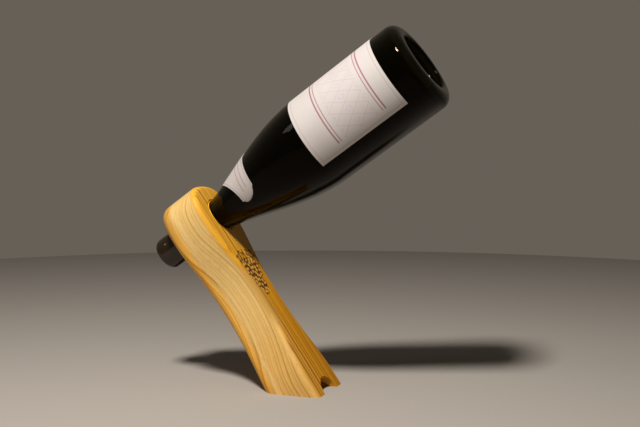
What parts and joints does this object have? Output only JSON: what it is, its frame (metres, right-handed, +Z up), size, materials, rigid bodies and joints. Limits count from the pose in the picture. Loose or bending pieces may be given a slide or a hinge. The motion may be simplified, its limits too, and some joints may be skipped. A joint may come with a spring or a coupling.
{
  "type": "balancing wine bottle holder",
  "caption": "Leaning waisted timber plank with a mitred sole and a bored head that balances a corked wine bottle by its neck, free of any base or fixing.",
  "frame": {"origin": "on the table, under the middle of the whole object's box; this point lies on the solid rear part of the sole", "axes": "+Z up; +X forward, the way the bottle's base points; the plank leans back towards -X; +Y across the plank, away from the side that the picture shows"},
  "size_m": [0.2732, 0.0834, 0.3148],
  "materials": {
    "holder_wood": "oiled, satin",
    "dark_glass": "gloss",
    "wine": "clear dark red liquid",
    "cork": "matte",
    "capsule": "gloss",
    "label_paper": "matte"
  },
  "bodies": {
    "holder": {"holder_plank": "holder_wood"},
    "wine": {"wine": "wine"},
    "bottle": {"bottle_glass": "dark_glass", "cork": "cork", "capsule_skirt": "capsule", "capsule_disc": "capsule", "front_label": "label_paper", "neck_label": "label_paper"}
  },
  "joints": [
    {"name": "bottle_pull_out", "type": "slide", "parent": "holder", "child": "wine", "axis": [0.8192, 0, 0.5736], "range_m": [0, 0.076]},
    {"name": "bottle_turn", "type": "hinge", "parent": "wine", "child": "bottle", "pos_m": [-0.12772, 0, 0.11364], "axis": [0.8192, 0, 0.5736], "continuous": true}
  ]
}
